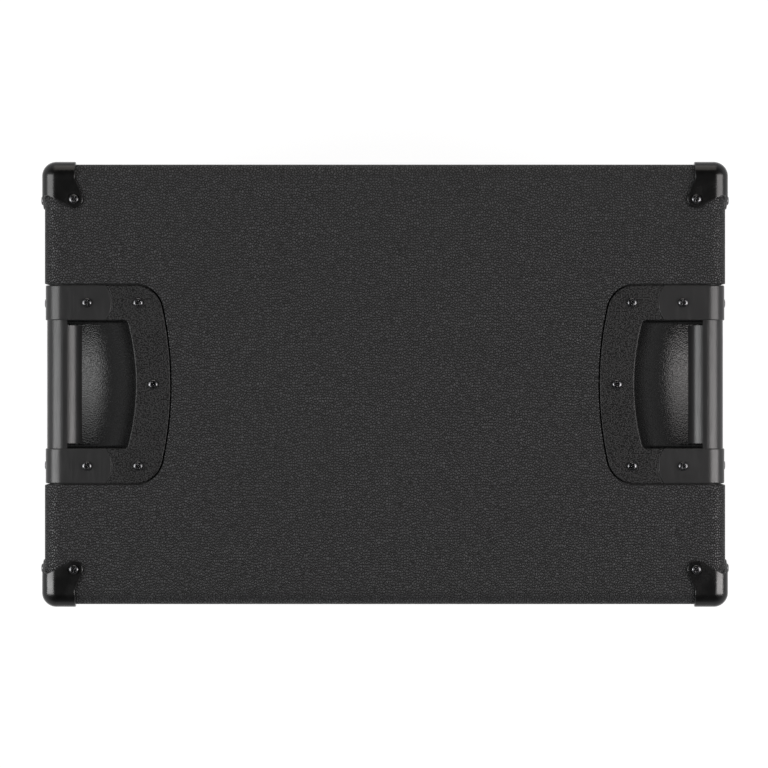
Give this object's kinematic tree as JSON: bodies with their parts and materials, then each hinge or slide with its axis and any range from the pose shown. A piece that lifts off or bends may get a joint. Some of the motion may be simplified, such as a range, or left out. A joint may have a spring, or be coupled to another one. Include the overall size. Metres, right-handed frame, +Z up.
{
  "type": "guitar speaker cabinet",
  "caption": "Closed-back guitar speaker cabinet with finger-jointed panels, vinyl covering, wrap-round edge handles, corner protectors, rubber feet and a moving-coil driver behind cloth.",
  "frame": {"origin": "on the floor under the middle of the cabinet, in the plane of the feet", "axes": "+Z up, +X to the right and -Y to the front, where the grille is, for someone facing the grille"},
  "size_m": [0.5964, 0.3844, 0.5182],
  "materials": {
    "plywood": "sanded birch plywood",
    "pine": "planed softwood",
    "grained_vinyl": "black vinyl covering with a pebbled grain",
    "grille_cloth": "black woven acoustic cloth",
    "hook_and_loop": "black hook-and-loop tape",
    "textured_plastic": "black moulded plastic with a fine spark texture",
    "smooth_plastic": "black moulded plastic, satin",
    "corner_plastic": "glossy black plastic",
    "black_screws": "steel with a bright black-nickel plate",
    "plated_steel": "zinc-plated steel",
    "foot_rubber": "black rubber",
    "driver_paint": "black enamel on pressed steel",
    "ferrite": "dark ferrite",
    "cone_paper": "dark doped paper",
    "treated_cloth": "resin-treated cloth",
    "coil_former": "thin aluminium",
    "copper": "enamelled copper",
    "gasket_board": "pressed fibre board",
    "fibre_board": "phenolic fibre board",
    "tinned_brass": "tinned brass",
    "jack_plastic": "black moulded plastic",
    "nickel": "nickel plate",
    "lead_black": "black insulation",
    "lead_red": "red insulation"
  },
  "bodies": {
    "cabinet": {"back_covering": "grained_vinyl", "back_panel": "plywood", "back_panel_screws": "black_screws", "baffle_board": "plywood", "baffle_screws": "plated_steel", "bottom_panel": "plywood", "cone_surround": "treated_cloth", "corner_back_bottom_left": "corner_plastic", "corner_back_bottom_right": "corner_plastic", "corner_back_top_left": "corner_plastic", "corner_back_top_right": "corner_plastic", "corner_front_bottom_left": "corner_plastic", "corner_front_bottom_right": "corner_plastic", "corner_front_top_left": "corner_plastic", "corner_front_top_right": "corner_plastic", "corner_screws": "black_screws", "covering": "grained_vinyl", "driver_bolts": "plated_steel", "driver_frame": "driver_paint", "driver_gasket": "gasket_board", "foot_back_left": "foot_rubber", "foot_back_right": "foot_rubber", "foot_front_left": "foot_rubber", "foot_front_right": "foot_rubber", "foot_screws": "black_screws", "front_battens": "pine", "grille_cloth": "grille_cloth", "grille_frame": "pine", "grille_pads": "hook_and_loop", "handle_screws": "black_screws", "jack_dish": "jack_plastic", "jack_dish_screws": "black_screws", "jack_lugs": "tinned_brass", "jack_nut": "nickel", "jack_socket": "jack_plastic", "jack_washer": "nickel", "left_handle_bar": "smooth_plastic", "left_handle_dish": "textured_plastic", "left_handle_grip_core": "smooth_plastic", "left_panel": "plywood", "motor_magnet": "ferrite", "motor_top_plate": "plated_steel", "motor_yoke": "plated_steel", "rear_battens": "pine", "right_handle_bar": "smooth_plastic", "right_handle_dish": "textured_plastic", "right_handle_grip_core": "smooth_plastic", "right_panel": "plywood", "speaker_lead_negative": "lead_black", "speaker_lead_positive": "lead_red", "spider": "treated_cloth", "tee_nuts": "plated_steel", "terminal_block": "fibre_board", "terminal_lugs": "tinned_brass", "tinsel_leads": "copper", "top_panel": "plywood"},
    "cone_assembly": {"cone": "cone_paper", "dust_cap": "cone_paper", "voice_coil_former": "coil_former", "voice_coil_winding": "copper"}
  },
  "joints": [
    {"name": "cone_travel", "type": "slide", "parent": "cabinet", "child": "cone_assembly", "axis": [0, 1, 0], "range_m": [-0.004, 0.004], "stiffness_N_per_m": 5000, "deforming": ["cone_surround", "spider", "tinsel_leads"]}
  ]
}
